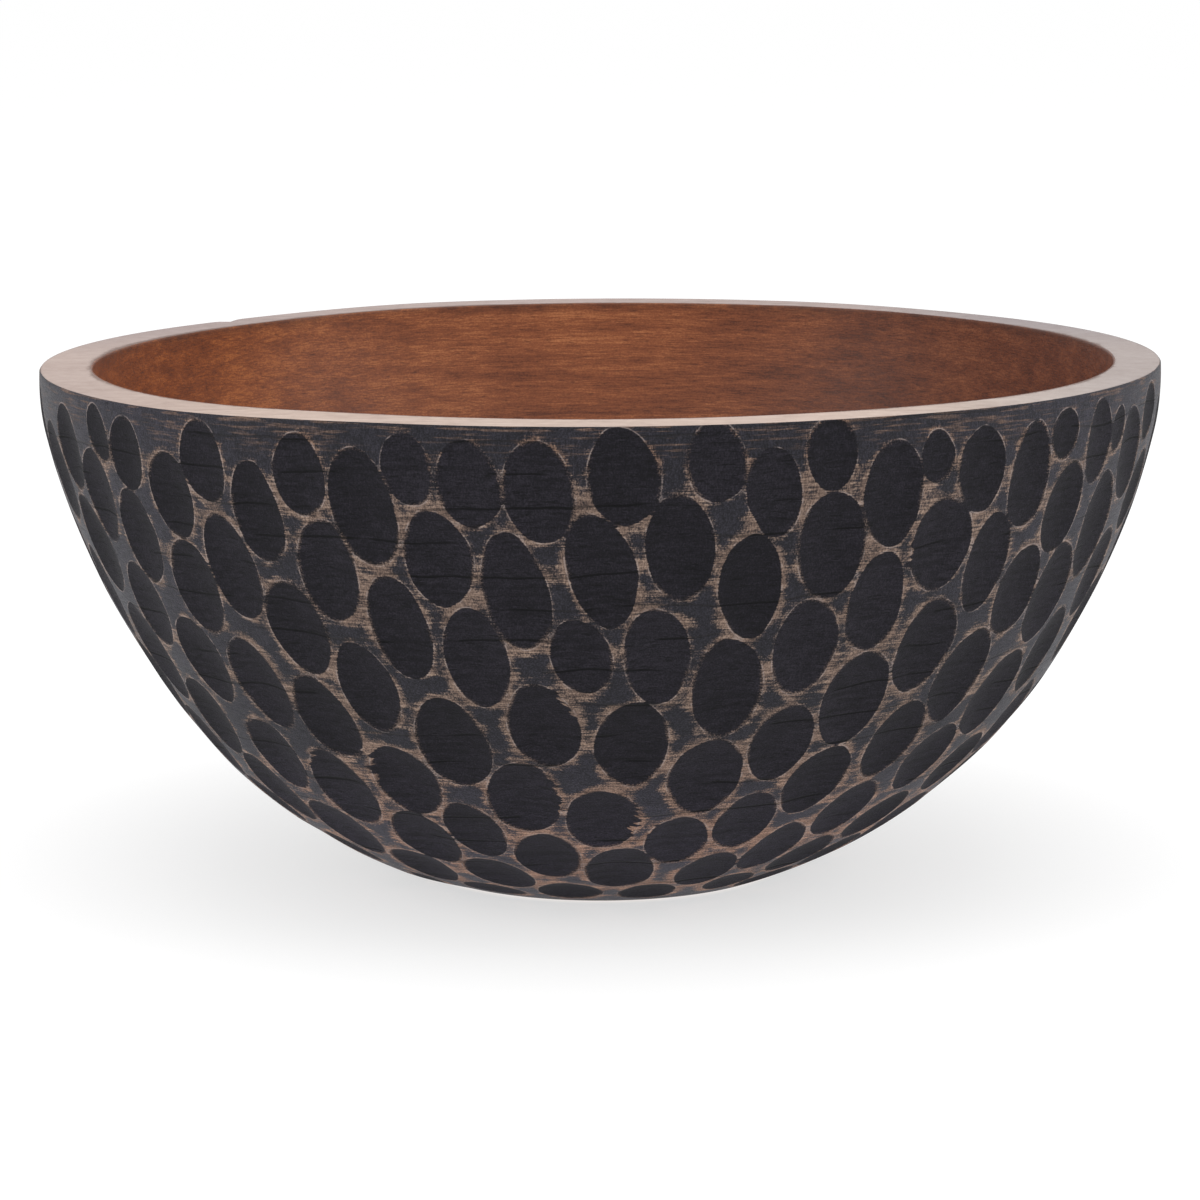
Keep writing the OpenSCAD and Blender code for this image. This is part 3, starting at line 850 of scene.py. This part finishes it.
def bare_wood():
    """Pale sanded wood: soft streaks along X; greyer and darker at the rim's -X and +X sides, partly the end grain
    there and partly painted shade, with painted shade also cooling its +X side and darkening its back."""
    n = Nodes("bare_wood")
    from_in, from_out = n.value("from_in"), n.value("from_out")
    x = n.t.nodes.new("ShaderNodeSeparateXYZ")
    n.put(x.inputs[0], n.coord)
    fibre = n.step(n.noise((110, 1900, 1400), 3.0, 0.6), 0.34, 0.66)
    streak = n.noise((22, 330, 280), 3.0, 0.55, move=(2, 5, 1))
    broad = n.noise((14, 34, 34), 2.0, 0.5, move=(8, 3, 1))
    sand = n.noise((1600, 1600, 1600), 2.0, 0.7)
    mottle = n.noise((240, 240, 240), 4.0, 0.65, move=(3, 3, 7))
    pore = n.step(n.noise((180, 2600, 2200), 2.0, 0.5, move=(4, 4, 4)), 0.62, 0.72)
    end = n.step(n.math("ABSOLUTE", x.outputs[0]), 0.075, 0.142)
    right = n.step(x.outputs[0], 0.05, 0.13)
    back = n.step(x.outputs[1], 0.0, 0.10)
    back_left = n.mul(n.step(x.outputs[1], -0.03, 0.05), n.step(x.outputs[0], 0.03, -0.05))
    lined = n.add(n.mul(streak, 0.26), n.mul(fibre, 0.12))
    lined = n.add(n.mul(n.add(lined, -0.19), n.add(n.mul(end, -0.75), 1.0)), 0.19)
    v = n.add(lined, n.add(n.mul(broad, 0.20), n.add(n.mul(mottle, 0.34), n.mul(sand, 0.08))))
    wood = n.ramp(v, [
        (0.30, srgb(140, 119, 109)), (0.44, srgb(170, 149, 137)), (0.56, srgb(184, 164, 152)), (0.72, srgb(199, 181, 169))])
    # Greyer and darker at the -X and +X ends: partly the end grain, partly painted shade
    wood = n.mix(n.mul(end, 0.6), wood, n.mix(1.0, wood, srgb(222, 224, 234), "MULTIPLY"))
    # Painted shade: the rim's +X side made cooler and a little darker
    wood = n.mix(n.mul(right, 0.7), wood, n.mix(1.0, wood, srgb(232, 246, 255), "MULTIPLY"))
    # Painted shade: the rim's back made darker and bluer
    wood = n.mix(n.mul(back, 0.7), wood, n.mix(1.0, wood, srgb(212, 214, 228), "MULTIPLY"))
    wood = n.mix(n.mul(pore, 0.25), wood, srgb(120, 98, 88))
    # Grime and stain that crept over the rim's two edges
    fuzz = n.add(n.mul(n.add(n.noise((620, 620, 620), 4.0, 0.7, move=(1, 2, 3)), -0.5), 3.6), n.mul(n.add(n.noise((40, 40, 40), 2.0, 0.5), -0.5), 4.4))
    inner = n.step(n.add(n.add(from_in, fuzz), n.add(n.mul(back, -0.4), n.mul(back_left, -1.3))), 1.25, -0.6)
    wood = n.mix(n.mul(inner, 0.72), wood, srgb(86, 60, 48))
    outer = n.step(n.add(from_out, n.mul(fuzz, 0.5)), 0.55, -0.1)
    wood = n.mix(n.mul(outer, 0.35), wood, srgb(86, 76, 74))
    h = n.add(n.mul(fibre, 0.25), n.add(n.mul(sand, 0.3), n.mul(pore, -0.5)))
    return n.finish(wood, n.add(n.mul(mottle, 0.15), 0.55), n.bump(h, 0.06, 0.6), 0.3)


def lacquered_wood():
    """Satin red-brown lacquer over straight grain that runs along X."""
    n = Nodes("red_brown_lacquered_wood")
    down = n.value("down")
    x = n.t.nodes.new("ShaderNodeSeparateXYZ")
    n.put(x.inputs[0], n.coord)
    bent = n.noise((7, 12, 12), 2.0, 0.5, move=(3, 3, 3))
    streak = n.step(n.noise((14, 110, 300), 4.0, 0.62, turn=(0, D(3), D(4)), warp=0.2), 0.30, 0.70)
    fine = n.step(n.noise((120, 420, 2300), 4.0, 0.7, turn=(0, D(2), 0)), 0.36, 0.64)
    dash = n.step(n.noise((300, 700, 2600), 2.0, 0.5, move=(6, 1, 2)), 0.58, 0.68)
    fleck = n.step(n.noise((1500, 1500, 2300), 3.0, 0.65, move=(2, 8, 2)), 0.36, 0.64)
    flame = n.step(n.noise((26, 40, 9), 2.0, 0.5, turn=(0, D(-42), 0), move=(1, 5, 2), warp=0.3), 0.35, 0.65)
    v = n.add(n.mul(streak, 0.26), n.add(n.mul(fine, 0.24), n.add(n.mul(bent, 0.20), n.add(n.mul(flame, 0.14), n.mul(fleck, 0.16)))))
    wood = n.ramp(v, [
        (0.18, srgb(88, 47, 29)), (0.40, srgb(116, 64, 39)), (0.58, srgb(136, 79, 48)), (0.84, srgb(170, 108, 68))])
    wood = n.mix(n.mul(dash, 0.42), wood, srgb(66, 35, 23))
    right = n.step(n.add(x.outputs[0], n.mul(n.add(bent, -0.5), 0.10)), 0.0, 0.13)
    wood = n.mix(n.mul(right, 0.9), wood, n.mix(1.0, wood, srgb(168, 154, 160), "MULTIPLY"))
    left = n.step(n.add(x.outputs[0], n.mul(n.add(bent, -0.5), 0.10)), -0.03, -0.12)
    wood = n.mix(n.mul(left, 0.8), wood, n.mix(1.0, wood, srgb(229, 203, 142), "MULTIPLY"))
    # Painted light: the upper part of the hollow lightened, where its steep wall faces the lamps
    high = n.step(down, 34.0, 8.0)
    wood = n.mix(n.mul(high, 0.6), wood, n.mix(1.0, wood, (1.30, 1.36, 1.40), "MULTIPLY"))
    fuzz = n.noise((480, 480, 480), 4.0, 0.7, move=(4, 2, 3))
    wave = n.noise((30, 30, 30), 2.0, 0.5, move=(4, 2, 3))
    rim_dark = n.step(n.add(down, n.add(n.mul(fuzz, 5.0), n.mul(wave, 5.0))), 8.6, 3.0)
    wood = n.mix(n.mul(rim_dark, 0.62), wood, srgb(62, 38, 29))
    h = n.add(n.mul(fine, 0.25), n.mul(dash, -0.6))
    return n.finish(wood, n.add(n.mul(fine, 0.08), 0.42), n.bump(h, 0.05, 0.5), 0.30)


for ob, mat, node, slot in (
    (carved_wall, stained_wood(), "exterior_black_stain", "black_stained_wood"),
    (body, bare_wood(), "bowl_body", "bare_wood"),
    (lacquer, lacquered_wood(), "interior_lacquer", "red_brown_lacquered_wood"),
):
    ob.data.materials.append(mat)
    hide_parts(node)
    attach(ob, "root")

# ------------------------------------------------------- floor and lights
floor_me = bpy.data.meshes.new("floor")
# 0.2 mm under the foot, so that the two flat faces don't share a plane
floor_me.from_pydata([(x, y, -0.0002) for x, y in ((-30, -30), (30, -30), (30, 30), (-30, 30))], [], [(0, 1, 2, 3)])
floor = bpy.data.objects.new("floor", floor_me)
scene.collection.objects.link(floor)
f = Nodes("floor_white")
b = f.t.nodes.new("ShaderNodeBsdfPrincipled")
b.inputs["Base Color"].default_value = (0.42, 0.42, 0.42, 1)
b.inputs["Roughness"].default_value = 0.9
b.inputs["Specular IOR Level"].default_value = 0.0
b.inputs["Emission Color"].default_value = (1, 1, 1, 1)
b.inputs["Emission Strength"].default_value = 0.62
o = f.t.nodes.new("ShaderNodeOutputMaterial")
f.t.links.new(b.outputs[0], o.inputs[0])
floor_me.materials.append(f.mat)

world = bpy.data.worlds.new("studio")
scene.world = world
world.use_nodes = True
world.node_tree.nodes["Background"].inputs[0].default_value = (1, 1, 1, 1)
world.node_tree.nodes["Background"].inputs[1].default_value = 0.9


def area(name, loc, target, size, power, color=(1, 1, 1)):
    li = bpy.data.lights.new(name, "AREA")
    li.shape, li.size, li.size_y = "RECTANGLE", size[0], size[1]
    li.energy, li.color = power, color
    ob = bpy.data.objects.new(name, li)
    ob.location = loc
    ob.rotation_euler = (Vector(target) - Vector(loc)).to_track_quat("-Z", "Y").to_euler()
    scene.collection.objects.link(ob)
    return ob


area("top_softbox", (0.0, -0.2, 1.5), (0, 0, 0.1), (1.4, 1.2), 9.0)
area("left_softbox", (-1.3, -0.6, 0.7), (0, 0, 0.08), (0.8, 1.0), 5.0)
area("right_softbox", (1.3, -0.4, 0.7), (0, 0, 0.08), (0.8, 1.0), 5.0)
scene.view_settings.view_transform = "Standard"
scene.view_settings.look = "None"
